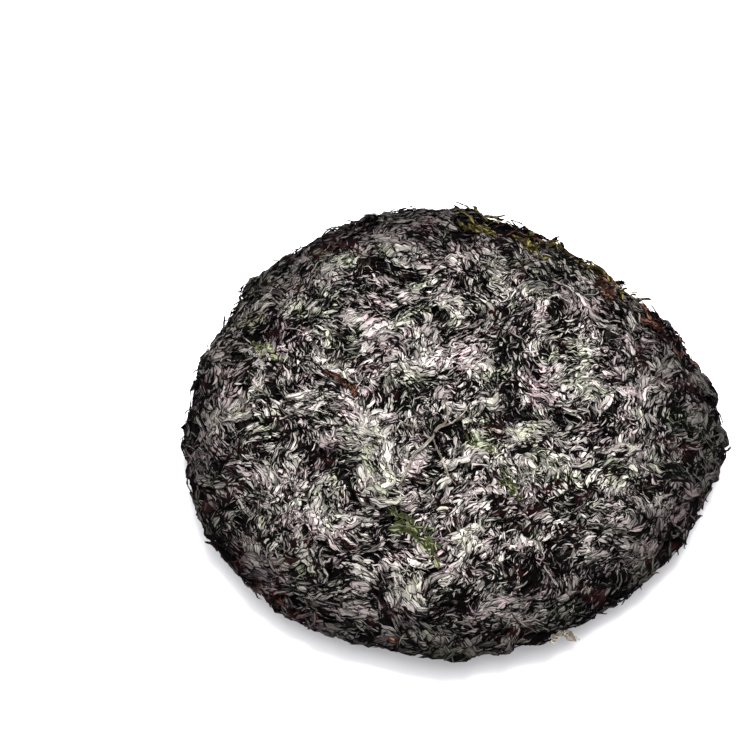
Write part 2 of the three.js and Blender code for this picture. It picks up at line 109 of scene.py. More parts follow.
# A pit's bare middle and the width of its edge, as shares of its radius, and its depth.
PIT_CORE = 0.55
PIT_EDGE = 0.5
PIT_DEPTH = 1.6 * MM
# Where painted highlight pales the face or painted shade darkens it: (x, y, reach, how much), from
# the photo.
LIGHT_AND_SHADE_SPOTS = (
    (15, 62, 9, -1.0),
    (33, 37, 8, -0.7),
    (4, -7, 5, -0.6),
    (18, -44, 6, -0.7),
    (45, -54, 9, -0.5),
    (4, -80, 8, -1.0),
    (63, -80, 15, -0.8),
    (26, 88, 11, -0.9),
    (52, 74, 12, -1.0),
    (76, 50, 11, -0.8),
    (-38, -73, 6, -0.6),
    (-19, 44, 12, 0.7),
    (0, 56, 6, 0.6),
    (7, 22, 6, 0.7),
    (-34, -3, 9, 0.7),
    (-13, -22, 6, 0.8),
    (6, -61, 7, 0.8),
    (40, -25, 9, 0.7),
    (60, 18, 6, 0.8),
    (-68, -31, 6, 0.6),
    (-54, -49, 9, 0.6),
)
# Pale threads that fork over the middle of the face: paths in the part's own millimetres.
ROOTS = (
    ((-1.9, 3.5), (-1.5, -5.7), (-4.3, -11), (-7.9, -14.4), (-14.8, -23), (-19.6, -35)),
    ((-4.3, -11), (1.8, -6.2), (7.8, -1.4)),
    ((-7.9, -14.4), (-2.3, -26.5), (1.8, -36)),
    ((-7.9, -14.4), (-14.4, -9.6), (-21.2, -6.2)),
)
ROOT_STATIONS = 27
ROOT_LIFT = 2.4
ROOT_STRAY = 0.8

# Factors that turn a lattice point and a seed into a random number.
HASH_AXES = np.array([73856093, 19349663, 83492791])
HASH_SEED = 668265263
HASH_MIXES = ((13, 1274126177), (16, 2246822519))
HASH_TOP = 0xFFFFFFFF

# Factors that draw a strand's further random numbers out of its tone.
STRAY_DRAW = 63.7
HEADING_DRAW = 517.3
LOFT_DRAW = 791.9
BREADTH_DRAW = 154.3
APART = 37.0
# Sizes of the noises that wave and crumple a strand.
WAVE_SIZE = 2.6 * MM
CRUMPLE_SIZE = 2.0 * MM

# The skin's facets along and across a blade, how much finer the small ones are, and the noise
# that bends them.
FACET_LONG = 9 * MM
FACET_BROAD = 2.8 * MM
FINER = (1.7, 2.6, 0.0)
BEND_SIZE = 4.0 * MM
BEND = 1.6 * MM
# Each kind of crease, in facets: its width where the skin lies shut, where it lies open, and
# the width of its soft edge.
FACET_CREASE = (0.11, 0.0, 0.06)
FINE_CREASE = (0.08, -0.02, 0.08)
FURROW = (0.045, 0.005, 0.03)
# Noises over the skin: (size, detail, roughness, shift).
PATCHES = (16 * MM, 3.0, 0.6)
SLACK = (4 * MM, 1.0, 0.5, 0.2)
FLECKS = (1.5 * MM, 2.0, 0.6, 0.3)
HUES = (20 * MM, 3.0, 0.6, 0.7)
HUE_SPECKS = (6 * MM, 1.0, 0.5, 0.9)
MURK = (9 * MM, 2.0, 0.6, 0.4)
# Where painted shade starts to darken the skin towards the rim and where it is darkest, in metres.
RIM_PAINTED_SHADE = (0.068, 0.104)

# Nothing is let down nearer to the floor than this.
LEAST_HEIGHT = 0.05 * MM

# A film of a coloured blade, in millimetres.
FILM_LANES = 9
FILM_PLEATS = 3.0
FILM_THICKNESS = 0.12
BLADE_STATIONS = 15
BLADE_WIDTH = 4.0
BLADE_LIFT = 1.8

# The photo's camera: its lens and sensor, its tilt, the photo's width, and how many
# millimetres a pixel is at the aim, which shows at SEEN_AT.
LENS = 86.4
SENSOR = 36
TILT = 57
PIXELS = 750
PIXEL_MM = 0.404
SEEN_AT = (444, 421)
AIM_HEIGHT = 11


# ---- numbers over many points ----


def unit(rows):
    """The rows scaled to length 1."""
    return rows / np.maximum(np.linalg.norm(rows, axis=1, keepdims=True), TINY)


def spread_of(points):
    """Each point's place from the disc's centre, and how far out it is: 1 at the rim."""
    flat = points[:, :2] / MM - HEART
    angle = np.arctan2(flat[:, 1], flat[:, 0])
    rim = RADIUS + sum(
        height * np.cos(lobes * (angle - math.radians(peak))) for lobes, height, peak in SWELLS
    )
    return flat, np.hypot(flat[:, 0], flat[:, 1]) / rim


def value_noise(points, seed=0):
    """Smooth noise from -1 to 1 at each row of points, one lattice cell for each unit."""
    cell = np.floor(points).astype(np.int64)
    part = points - cell
    part = part * part * (3 - 2 * part)
    total = np.zeros(len(points))
    for corner in range(8):
        step = np.array([corner & 1, corner >> 1 & 1, corner >> 2 & 1])
        key = (cell + step) @ HASH_AXES + seed * HASH_SEED
        for shift, factor in HASH_MIXES:
            key = (key ^ (key >> shift)) * factor & HASH_TOP
        weight = np.prod(np.where(step, part, 1 - part), axis=1)
        total += weight * (key / HASH_TOP * 2 - 1)
    return total


def stirred(places):
    """Where each place of the face lies once the fronds' eddies are unwound, in millimetres."""
    x, y = places[:, 0], places[:, 1]
    calm = 1 - np.clip(np.hypot(x, y) / RADIUS, 0, 1) ** 6
    (short, long, phase), (short_too, long_too, phase_too) = DRIFT_X, DRIFT_Y
    wound_x = x + calm * LAY_DRIFT * np.sin(y / short + x / long + phase)
    wound_y = y + calm * LAY_DRIFT * np.sin(x / short_too - y / long_too + phase_too)
    for eddy_x, eddy_y, reach, turn in EDDIES:
        away_x, away_y = wound_x - eddy_x, wound_y - eddy_y
        angle = math.radians(turn) * calm * np.exp(-(away_x**2 + away_y**2) / reach**2)
        wound_x = eddy_x + away_x * np.cos(angle) - away_y * np.sin(angle)
        wound_y = eddy_y + away_x * np.sin(angle) + away_y * np.cos(angle)
    return np.column_stack((wound_x, wound_y))


def grain_of(places):
    """The way the fronds run at each place, as rows of unit vectors in the plane."""
    step = 0.2
    rings = []
    for shift in ((step, 0), (-step, 0), (0, step), (0, -step)):
        rings.append(np.linalg.norm(stirred(places + np.array(shift)), axis=1))
    across = np.column_stack((rings[0] - rings[1], rings[2] - rings[3]))
    flat = np.column_stack((places, np.zeros(len(places))))
    angle = np.arctan2(across[:, 1], across[:, 0]) + math.pi / 2
    angle += sum(much * value_noise(flat / size, seed) for much, size, seed in SWINGS)
    return np.column_stack((np.cos(angle), np.sin(angle), np.zeros(len(places))))


def room_round_pits(places):
    """How much room the strands have: 0 in a pit, 1 away from them all."""
    room = np.ones(len(places))
    for pit_x, pit_y, radius in PITS:
        away = np.hypot(places[:, 0] - pit_x, places[:, 1] - pit_y) / radius
        room *= np.clip((away - PIT_CORE) / PIT_EDGE, 0, 1)
    return room


def painted_light_and_shade_at(points):
    """How much painted highlight pales the face, or painted shade darkens it below 0, at each
    point.
    """
    flat, _ = spread_of(points)
    total = np.zeros(len(flat))
    for x, y, reach, much in LIGHT_AND_SHADE_SPOTS:
        total += much * np.exp(-((flat[:, 0] - x) ** 2 + (flat[:, 1] - y) ** 2) / reach**2)
    return total


# ---- node trees ----


class Signal:
    """One socket of a node tree. Arithmetic on it adds the maths nodes that work it out."""

    def __init__(self, tree, socket):
        self.tree = tree
        self.socket = socket

    def _maths(self, operation, *values):
        return node(self.tree, "ShaderNodeMath", list(values), operation=operation)[0]

    def __add__(self, other):
        return self._maths("ADD", self, other)

    def __sub__(self, other):
        return self._maths("SUBTRACT", self, other)

    def __rsub__(self, other):
        return self._maths("SUBTRACT", other, self)

    def __mul__(self, other):
        return self._maths("MULTIPLY", self, other)

    def __truediv__(self, other):
        return self._maths("DIVIDE", self, other)

    def __rtruediv__(self, other):
        return self._maths("DIVIDE", other, self)

    def __pow__(self, other):
        return self._maths("POWER", self, other)

    def __abs__(self):
        return self._maths("ABSOLUTE", self)

    def sine(self):
        return self._maths("SINE", self)

    def fraction(self):
        return self._maths("FRACT", self)

    def most(self, other):
        return self._maths("MAXIMUM", self, other)

    def ranged(self, low, high, first=0.0, last=1.0):
        """Runs from first to last as the signal goes from low to high, and stays there."""
        values = [self, low, high, first, last]
        return node(self.tree, "ShaderNodeMapRange", values, clamp=True)[0]

    def blended(self, first, last):
        """A colour from first to last as the signal goes from 0 to 1."""
        values = {"Factor": self, "A": first, "B": last}
        kind = {"data_type": "RGBA", "clamp_factor": True}
        return node(self.tree, "ShaderNodeMix", values, **kind)["Result"]


class Outputs:
    """The outputs of one node, by place or by name."""

    def __init__(self, tree, made):
        self.tree = tree
        self.made = made

    def __getitem__(self, key):
        if isinstance(key, int):
            return Signal(self.tree, self.made.outputs[key])
        found = [s for s in self.made.outputs if key in (s.name, s.identifier) and s.enabled]
        return Signal(self.tree, found[0])


def node(tree, kind, values=(), **settings):
    """Adds a node, sets it up, and feeds its inputs by place or by name."""
    made = tree.nodes.new(kind)
    for key, value in settings.items():
        setattr(made, key, value)
    open_inputs = [s for s in made.inputs if s.enabled]
    pairs = values.items() if isinstance(values, dict) else enumerate(values)
    for key, value in pairs:
        if isinstance(key, int):
            socket = open_inputs[key]
        else:
            socket = [s for s in open_inputs if key in (s.identifier, s.name)][0]
        if isinstance(value, Signal):
            tree.links.new(value.socket, socket)
        else:
            if socket.type == "RGBA" and len(value) == 3:
                value = (*value, 1.0)
            socket.default_value = value
    return Outputs(tree, made)


def vector(tree, operation, *values):
    return node(tree, "ShaderNodeVectorMath", list(values), operation=operation)


def scaled(tree, way, size):
    values = {"Vector": way, "Scale": size}
    return node(tree, "ShaderNodeVectorMath", values, operation="SCALE")[0]


def position(tree):
    return node(tree, "GeometryNodeInputPosition")[0]


def attribute(tree, name, kind="FLOAT"):
    return node(tree, "GeometryNodeInputNamedAttribute", [name], data_type=kind)[0]


def chance(tree, low, high, seed):
    """A random number for each element, from low to high."""
    values = {"Min_001": low, "Max_001": high, "Seed": seed}
    return node(tree, "FunctionNodeRandomValue", values)["Value_001"]


def stored(tree, geometry, name, value, kind="FLOAT"):
    values = {"Geometry": geometry, "Name": name, "Value": value}
    return node(tree, "GeometryNodeStoreNamedAttribute", values, data_type=kind)[0]


def astray(tree, place, scale=1.0):
    """A smooth random vector, about 0 and less than half a unit each way."""
    values = {"Vector": place, "Scale": scale, "Detail": 1.0}
    colour = node(tree, "ShaderNodeTexNoise", values)["Color"]
    return vector(tree, "SUBTRACT", colour, (0.5, 0.5, 0.5))[0]


def new_tree(name, inputs):
    """A geometry tree with its named inputs. Returns the tree and the signals of the inputs."""
    tree = bpy.data.node_groups.new(name, "GeometryNodeTree")
    tree.interface.new_socket("Geometry", in_out="INPUT", socket_type="NodeSocketGeometry")
    for label, kind in inputs:
        tree.interface.new_socket(label, in_out="INPUT", socket_type="NodeSocket" + kind)
    tree.interface.new_socket("Geometry", in_out="OUTPUT", socket_type="NodeSocketGeometry")
    ports = tree.nodes.new("NodeGroupInput")
    return tree, {s.name: Signal(tree, s) for s in ports.outputs if s.name}


STRAND_INPUTS = (
    ("Density", "Float"),
    ("Seed", "Int"),
    ("Shortest", "Float"),
    ("Longest", "Float"),
    ("Narrowest", "Float"),
    ("Widest", "Float"),
    ("Turn", "Float"),
    ("Sweep", "Float"),
    ("Sweep Size", "Float"),
    ("Lift", "Float"),
    ("Wave", "Float"),
    ("Dive", "Float"),
    ("Tip Rise", "Float"),
    ("Twist", "Float"),
    ("Stations", "Int"),
    ("Sides", "Int"),
    ("Thickness", "Float"),
    ("Pleat", "Float"),
    ("Crumple", "Float"),
    ("Material", "Material"),
)


def nearest(tree, bed, value, place):
    """A vector of the bed's surface at the point of it nearest to the place."""
    values = {"Mesh": bed, "Value": value, "Sample Position": place}
    kind = {"data_type": "FLOAT_VECTOR"}
    return node(tree, "GeometryNodeSampleNearestSurface", values, **kind)["Value"]


def walked(tree, laid, bed, given):
    """Draws each curve out along the grain, one station further on each turn of the loop."""
    first = tree.nodes.new("GeometryNodeRepeatInput")
    last = tree.nodes.new("GeometryNodeRepeatOutput")
    first.pair_with_output(last)
    steps = given["Stations"] - 1
    tree.links.new(steps.socket, first.inputs["Iterations"])
    tree.links.new(laid.socket, first.inputs["Geometry"])
    turn_at = Signal(tree, [s for s in first.outputs if s.name == "Iteration"][0])
    place = position(tree)
    way = nearest(tree, bed, attribute(tree, "grain", "FLOAT_VECTOR"), place)
    out_way = nearest(tree, bed, attribute(tree, "outward", "FLOAT_VECTOR"), place)
    tone = attribute(tree, "tone")
    stray = (tone * STRAY_DRAW).fraction() * 2.0 - 1.0
    stray = stray * abs(stray) * given["Turn"]
    spin = node(tree, "FunctionNodeAxisAngleToRotation", [out_way, stray])[0]
    way = node(tree, "FunctionNodeRotateVector", [way, spin])[0]
    index = node(tree, "GeometryNodeSplineParameter")["Index"]
    ahead = (index - turn_at).ranged(0.25, 0.75)
    # As if by a coin, half of the strands walk on and half walk back.
    heading = (tone * HEADING_DRAW).fraction().ranged(0.4999, 0.5001, -1.0, 1.0)
    stride = ahead * heading * attribute(tree, "long") / steps
    offset = scaled(tree, way, stride)
    values = {"Geometry": Signal(tree, first.outputs["Geometry"]), "Offset": offset}
    moved = node(tree, "GeometryNodeSetPosition", values)[0]
    tree.links.new(moved.socket, last.inputs["Geometry"])
    return Signal(tree, last.outputs["Geometry"])


def strand_tree():
    """Strands laid along the grain of a mesh: each is a closed ribbon bent over the surface."""
    tree, given = new_tree("Laver strands", STRAND_INPUTS)
    bed = given["Geometry"]
    seed = given["Seed"]

    # A straight stub of a curve at each random point, then its walk along the grain.
    density = attribute(tree, "room") * given["Density"]
    values = {"Mesh": bed, "Density": density, "Seed": seed}
    points = node(tree, "GeometryNodeDistributePointsOnFaces", values)["Points"]
    points = stored(tree, points, "tone", chance(tree, 0.0, 1.0, seed + 1))
    length = chance(tree, given["Shortest"], given["Longest"], seed + 2)
    points = stored(tree, points, "long", length)
    values = {"Start": (0, 0, 0), "End": (1e-5, 0, 0)}
    line = node(tree, "GeometryNodeCurvePrimitiveLine", values)[0]
    values = {"Curve": line, "Count": given["Stations"]}
    line = node(tree, "GeometryNodeResampleCurve", values)[0]
    values = {"Points": points, "Instance": line}
    laid = node(tree, "GeometryNodeInstanceOnPoints", values)[0]
    laid = node(tree, "GeometryNodeRealizeInstances", {"Geometry": laid})[0]
    laid = walked(tree, laid, bed, given)

    # Its sweep to the side, then its lift off the bed, its waves, its dived ends and its tip.
    place = position(tree)
    tone = attribute(tree, "tone")
    factor = node(tree, "GeometryNodeSplineParameter")["Factor"]
    own = node(tree, "ShaderNodeCombineXYZ", [0.0, 0.0, tone * APART])[0]
    sway_at = vector(tree, "ADD", scaled(tree, place, 1.0 / given["Sweep Size"]), own)[0]
    sway = scaled(tree, astray(tree, sway_at), given["Sweep"] * 2.0)
    swept = vector(tree, "ADD", place, sway)[0]
    touch = nearest(tree, bed, position(tree), swept)
    away = nearest(tree, bed, attribute(tree, "outward", "FLOAT_VECTOR"), swept)
    away = vector(tree, "NORMALIZE", away)[0]
    wave_at = vector(tree, "ADD", scaled(tree, place, 1 / WAVE_SIZE), own)[0]
    values = {"Vector": wave_at, "Scale": 1.0, "Detail": 1.0}
    wave = node(tree, "ShaderNodeTexNoise", values)[0] - 0.5
    along = factor * 2.0 - 1.0
    ends = (along * along) ** 2.0
    loft = (tone * LOFT_DRAW).fraction()
    breadth = (tone * BREADTH_DRAW).fraction()
    height = given["Lift"] * loft + wave * 2.0 * given["Wave"] - ends * given["Dive"]
    height = height + given["Tip Rise"] * (breadth**3.0) * (factor**2.0)
    settled = vector(tree, "ADD", touch, scaled(tree, away, height))[0]
    values = {"Geometry": laid, "Position": settled}
    laid = node(tree, "GeometryNodeSetPosition", values)[0]

    # Its tilt and its width, and what its material reads.
    values = {"Curve": laid, "Normal": away}
    laid = node(tree, "GeometryNodeSetCurveNormal", values, mode="FREE")[0]
    values = {"Vector": scaled(tree, wave_at, 0.6), "Scale": 1.0, "Detail": 0.0}
    roll = node(tree, "ShaderNodeTexNoise", values)[0]
    tilt = (roll - 0.5) * 4.0 * given["Twist"] + (loft - 0.5) * given["Twist"]
    laid = node(tree, "GeometryNodeSetCurveTilt", {"Curve": laid, "Tilt": tilt})[0]
    broad = given["Narrowest"] + (given["Widest"] - given["Narrowest"]) * breadth * breadth
    taper = (1.0 - along * along).most(0.0) ** 0.5 * 0.92 + 0.08
    values = {"Curve": laid, "Radius": broad * taper * 0.5}
    laid = node(tree, "GeometryNodeSetCurveRadius", values)[0]
    laid = stored(tree, laid, "along", factor * attribute(tree, "long"))
    laid = stored(tree, laid, "height", height / MM)
    laid = stored(tree, laid, "broad", broad * 0.5)

    # The flat, pleated ring that is swept along it.
    values = {"Resolution": given["Sides"], "Radius": 1.0}
    ring = node(tree, "GeometryNodeCurvePrimitiveCircle", values)[0]
    at = node(tree, "ShaderNodeSeparateXYZ", [position(tree)])
    pleat = (at["Y"] * 9.0 + 0.6).sine() * given["Pleat"]
    values = [at["X"] * given["Thickness"] + pleat, at["Y"], 0.0]
    flat = node(tree, "ShaderNodeCombineXYZ", values)[0]
    values = {"Geometry": ring, "Position": flat}
    ring = node(tree, "GeometryNodeSetPosition", values)[0]
    ring = stored(tree, ring, "across", at["Y"])
    radius = node(tree, "GeometryNodeInputRadius")[0]
    values = {"Curve": laid, "Profile Curve": ring, "Scale": radius, "Fill Caps": True}
    made = node(tree, "GeometryNodeCurveToMesh", values)[0]

    # The place on the flat blade, the crumpling, the flat shading and the material.
    values = [
        attribute(tree, "along"),
        attribute(tree, "across") * attribute(tree, "broad"),
        attribute(tree, "tone"),
    ]
    lay = node(tree, "ShaderNodeCombineXYZ", values)[0]
    made = stored(tree, made, "lay", lay, "FLOAT_VECTOR")
    crumple_at = scaled(tree, position(tree), 1 / CRUMPLE_SIZE)
    crumple = scaled(tree, astray(tree, crumple_at), given["Crumple"])
    values = {"Geometry": made, "Offset": crumple}
    made = node(tree, "GeometryNodeSetPosition", values)[0]
    values = {"Geometry": made, "Shade Smooth": False}
    made = node(tree, "GeometryNodeSetShadeSmooth", values)[0]
    made = node(tree, "GeometryNodeRealizeInstances", {"Geometry": made})[0]
    values = {"Geometry": made, "Material": given["Material"]}
    made = node(tree, "GeometryNodeSetMaterial", values)[0]
    sink = tree.nodes.new("NodeGroupOutput")
    tree.links.new(made.socket, sink.inputs[0])
    return tree


# ---- materials ----


def shader_tree(name):
    """A new material, its tree and its main shader."""
    material = bpy.data.materials.new(name)
    material.use_nodes = True
    tree = material.node_tree
    return material, tree, tree.nodes["Principled BSDF"]


def feed(tree, shader, **signals):
    for name, signal in signals.items():
        tree.links.new(signal.socket, shader.inputs[name.replace("_", " ")])


def read(tree, name, output="Fac"):
    return node(tree, "ShaderNodeAttribute", attribute_name=name)[output]


def noise_at(tree, place, size, detail=2.0, roughness=0.5, shift=0.0):
    """Noise from 0 to 1 with features about that many metres across."""
    values = {"Vector": place, "Scale": 1.0 / size, "Detail": detail, "Roughness": roughness}
    if shift:
        values["Vector"] = vector(tree, "ADD", place, (shift, shift, shift))[0]
    return node(tree, "ShaderNodeTexNoise", values)["Fac"]


def facets_at(tree, place):
    """Flat irregular facets a unit across: each one's random tone, and how far off its edge is."""
    values = {"Vector": place, "Scale": 1.0}
    kind = {"voronoi_dimensions": "2D"}
    tones = node(tree, "ShaderNodeTexVoronoi", values, **kind)["Color"]
    kind["feature"] = "DISTANCE_TO_EDGE"
    edge = node(tree, "ShaderNodeTexVoronoi", values, **kind)["Distance"]
    return node(tree, "ShaderNodeSeparateColor", [tones])[0], edge


def laver_material(
    name, dark, pale, tints, gloss=0.4, layered=True, shade=1.0, rim_shade=0.15, stains=STAINS
):
    """Crumpled dry laver: pale waxy facets of skin, pale partly as painted sheen, between fine
    creases painted near black as shade.
    """
    material, tree, shader = shader_tree(name)
    place = node(tree, "ShaderNodeTexCoord")["Object"]

    # Two sizes of facets and a furrow, in the blade's own lay.
    bend = scaled(tree, astray(tree, place, 1 / BEND_SIZE), BEND)
    lay = vector(tree, "ADD", read(tree, "lay", "Vector"), bend)[0]
    apart = node(tree, "ShaderNodeSeparateXYZ", [lay])
    own = apart["Z"] * 41.0
    values = [apart["X"] / FACET_LONG + own, apart["Y"] / FACET_BROAD + own, 0.0]
    big = node(tree, "ShaderNodeCombineXYZ", values)[0]
    small = vector(tree, "MULTIPLY", big, FINER)[0]
    facet, edge = facets_at(tree, big)
    crease, fine_edge = facets_at(tree, small)
    values = {"Vector": big, "Scale": 1.0, "Detail": 2.0}
    furrow = abs(node(tree, "ShaderNodeTexNoise", values)["Fac"] - 0.5)

    # Pale and dark zones, which set how far open the creases lie; they carry the painted light and
    # shade spots and the painted shade on lower blades.
    zone = noise_at(tree, place, *PATCHES).ranged(0.38, 0.6) * 0.7
    if layered:
        zone = zone + (read(tree, "tone") - 0.5) * 0.4 + read(tree, "painted_light_and_shade") * 0.4
        # Painted shade: blades that lie lower, under others, are darker.
        zone = zone + read(tree, "height").ranged(-1.0, 1.0, -0.3, 0.2)
    open_at = zone + (noise_at(tree, place, *SLACK) - 0.5) * 1.4

    def clear_of(distance, widths, least=0.0):
        """From least in the crease to 1 beyond its soft edge."""
        shut, opened, soft = widths
        return (distance - open_at.ranged(0.0, 0.9, shut, opened)).ranged(0.0, soft, least, 1.0)

    # The creases are painted near black: painted shade in the folds.
    skin_open = clear_of(edge, FACET_CREASE)
    skin_open = skin_open * clear_of(fine_edge, FINE_CREASE, 0.15)
    skin_open = skin_open * clear_of(furrow, FURROW)

    # The share of pale skin, darkened round the rim by painted shade.
    offset = (*(-HEART * MM), 0.0)
    flat = vector(tree, "MULTIPLY_ADD", place, (1.0, 1.0, 0.0), offset)[0]
    rim = vector(tree, "LENGTH", flat)["Value"].ranged(*RIM_PAINTED_SHADE, 1.0, rim_shade)
    share = zone * 0.25 + facet * 0.45 + crease * 0.35
    share = share.ranged(0.16, 0.86) * skin_open * rim * shade

    # The hues of the skin and of the creases.
    hue = noise_at(tree, place, *HUES) * 0.7 + noise_at(tree, place, *HUE_SPECKS) * 0.3
    skin = hue.ranged(0.38, 0.5).blended(tints[0], pale)
    skin = hue.ranged(0.53, 0.66).blended(skin, tints[1])
    stain = noise_at(tree, place, *MURK)
    murk = stain.ranged(0.3, 0.45).blended(stains[0], dark)
    murk = stain.ranged(0.55, 0.72).blended(murk, stains[1])
    colour = share.blended(murk, skin)

    # Sheen, glints and relief.
    flecks = noise_at(tree, place, *FLECKS)
    rough = skin_open.ranged(0.0, 1.0, gloss + 0.25, gloss) + flecks.ranged(0.3, 0.7, -0.05, 0.07)
    relief = skin_open * 0.6 + facet * 0.8 + crease * 0.5 + flecks * 0.8
    values = {"Strength": 0.9, "Distance": 0.2 * MM, "Height": relief}
    bumped = node(tree, "ShaderNodeBump", values)[0]
    feed(tree, shader, Base_Color=colour, Roughness=rough, Normal=bumped, Metallic=share * 0.2)
    shader.inputs["Specular IOR Level"].default_value = 0.01
    return material


# ---- pieces ----


def settings():
    return bpy.context.scene.laver


def link(name, mesh):
    piece = bpy.data.objects.new(name, mesh)
    bpy.context.scene.collection.objects.link(piece)
    return piece


def welded_copy(node_name):
    """A copy of a CAD node's mesh with its loose triangles joined up, facing out."""
    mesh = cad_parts[node_name].data.copy()
    shape = bmesh.new()
    shape.from_mesh(mesh)
    bmesh.ops.remove_doubles(shape, verts=shape.verts, dist=0.002 * MM)
    bmesh.ops.recalc_face_normals(shape, faces=shape.faces)
    shape.to_mesh(mesh)
    shape.free()
    mesh.materials.clear()
    return mesh


def baked(piece):
    """Works the piece's modifiers into its own mesh."""
    graph = bpy.context.evaluated_depsgraph_get()
    graph.update()
    mesh = bpy.data.meshes.new_from_object(piece.evaluated_get(graph))
    piece.modifiers.clear()
    old = piece.data
    piece.data = mesh
    bpy.data.meshes.remove(old)


def corners(mesh):
    flat = np.empty(len(mesh.vertices) * 3)
    mesh.vertices.foreach_get("co", flat)
    return flat.reshape(-1, 3)


def set_corners(mesh, points):
    mesh.vertices.foreach_set("co", points.astype(np.float32).ravel())
    mesh.update()


def normals(mesh):
    flat = np.empty(len(mesh.vertices) * 3, np.float32)
    mesh.vertex_normals.foreach_get("vector", flat)
    return flat.reshape(-1, 3).astype(float)


def store(mesh, name, values):
    single = values.ndim == 1
    kind = "FLOAT" if single else "FLOAT_VECTOR"
    layer = mesh.attributes.get(name) or mesh.attributes.new(name, kind, "POINT")
    layer.data.foreach_set("value" if single else "vector", values.astype(np.float32).ravel())


def outward_of(points):
    """The way out of the whole mat at each point, without its folds."""
    flat, share = spread_of(points)
    lean = np.clip((share - 0.84) / 0.16, 0, 1) ** 1.5
    height = np.clip((points[:, 2] / MM - 9.2) / 5, -1, 1)
    up = height * (1 - lean * (1 - np.abs(height)))
    side = unit(flat) * (lean * (1 - 0.55 * np.abs(height)))[:, None]
    return unit(np.column_stack((side, up + 1e-3)))


def lay_grain(mesh):
    """Stores on the mesh the grain, the way out and the room for strands at each vertex."""
    points = corners(mesh)
    flat, share = spread_of(points)
    grain = grain_of(flat)
    share = np.clip((share - 0.86) / 0.1, 0, 1)[:, None]
    ring = unit(np.column_stack((-flat[:, 1], flat[:, 0], np.zeros(len(flat)))))
    ring *= np.sign(np.sum(ring * grain, axis=1, keepdims=True) + 1e-9)
    wound = stirred(flat)
    rings = np.linalg.norm(wound, axis=1)
    store(mesh, "lay", np.column_stack((wound[:, 0], rings, wound[:, 1] / 50)) * MM)
    store(mesh, "grain", unit(grain * (1 - share) + ring * share))
    store(mesh, "outward", outward_of(points))
    store(mesh, "room", room_round_pits(flat))


class LAVER_OT_bed(bpy.types.Operator):
    """Make the dark folded bed of the mat from its CAD solid."""

    bl_idname = "laver.bed"
    bl_label = "Folded Bed"

    def execute(self, context):
        given = settings()
        piece = link(BED, welded_copy(MAT))
        remesh = piece.modifiers.new("Even", "REMESH")
        remesh.mode = "VOXEL"
        remesh.voxel_size = given.bed_grid
        smooth = piece.modifiers.new("Ease", "SMOOTH")
        smooth.factor = 0.5
        smooth.iterations = 2
        baked(piece)
        mesh = piece.data
        points = corners(mesh)
        flat, _ = spread_of(points)
        wound = stirred(flat)
        rings = np.linalg.norm(wound, axis=1)
        lay = np.column_stack((rings / 1.5, wound / 9.0))
        folds = value_noise(lay, 3) + 0.5 * value_noise(lay * (2.1, 1.6, 1.6), 5)
        folds = folds + 0.4 * value_noise(points / MM / 2.2, 9)
        deep = given.bed_folds * (folds - 0.5)
        deep -= PIT_DEPTH * (1 - room_round_pits(flat)) * (normals(mesh)[:, 2] > 0.2)
        moved = points + normals(mesh) * deep[:, None]
        moved[:, 2] = np.maximum(moved[:, 2], np.minimum(points[:, 2], 0.1 * MM))
        set_corners(mesh, moved)
        lay_grain(mesh)
        # The bed keeps almost none of the pale skin: it is painted near black as shade between and
        # under the blades.
        look = {"layered": False, "shade": 0.03}
        mesh.materials.append(
            laver_material("laver_shade", BLACK, PALE, (PINK, GREEN), 0.6, **look)
        )
        mesh.shade_smooth()
        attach(piece, "root")
        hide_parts(MAT)
        return {"FINISHED"}


def strand_piece(name, faces, material, tree, values):
    """One piece of strands, laid on those faces of the bed and worked into a plain mesh."""
    ground = bpy.data.objects[BED].data.copy()
    room = np.empty(len(ground.vertices), np.float32)
    ground.attributes["room"].data.foreach_get("value", room)
    store(ground, "room", room * faces(corners(ground), normals(ground)))
    ground.materials.clear()
    piece = link(name, ground)
    grow = piece.modifiers.new("Strands", "NODES")
    grow.node_group = tree
    named = {
        item.name: item.identifier
        for item in tree.interface.items_tree
        if item.item_type == "SOCKET" and item.in_out == "INPUT"
    }
    for label, value in values.items():
        grow[named[label]] = value
    grow[named["Material"]] = material
    baked(piece)
    kept = ("position", "tone", "height", "lay", "material_index")
    for layer in [a.name for a in piece.data.attributes]:
        if layer not in kept and "." not in layer:
            piece.data.attributes.remove(piece.data.attributes[layer])
    points = corners(piece.data)
    points[:, 2] = np.maximum(points[:, 2], LEAST_HEIGHT)
    set_corners(piece.data, points)
    # Painted highlight and painted shade spots over the face.
    store(piece.data, "painted_light_and_shade", painted_light_and_shade_at(points))
    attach(piece, "root")
    return piece


def on_face(points, ways):
    """Picks what faces up on the upper side, short of the rim."""
    _, share = spread_of(points)
    return ((ways[:, 2] > 0.15) & (points[:, 2] > 11 * MM) & (share < 0.93)).astype(float)


def on_rim(points, ways):
    """Picks the rim above the floor."""
    _, share = spread_of(points)
    return ((share >= 0.9) & (points[:, 2] > 3 * MM)).astype(float)


def on_arc(first, last):
    """Picks the outermost upper faces between two angles round the rim, in degrees."""

    def picked(points, ways):
        flat, share = spread_of(points)
        angle = np.degrees(np.arctan2(flat[:, 1], flat[:, 0]))
        inside = np.clip(np.minimum(angle - first, last - angle) / 12, 0, 1)
        return inside * (share > 0.95) * (points[:, 2] > 7 * MM)

    return picked


def on_underside(points, ways):
    """Picks what faces down, clear of the low flat places that the cake lies on."""
    height = points[:, 2]
    return ((ways[:, 2] < -0.1) & (height < 8 * MM) & (height > 1.5 * MM)).astype(float)


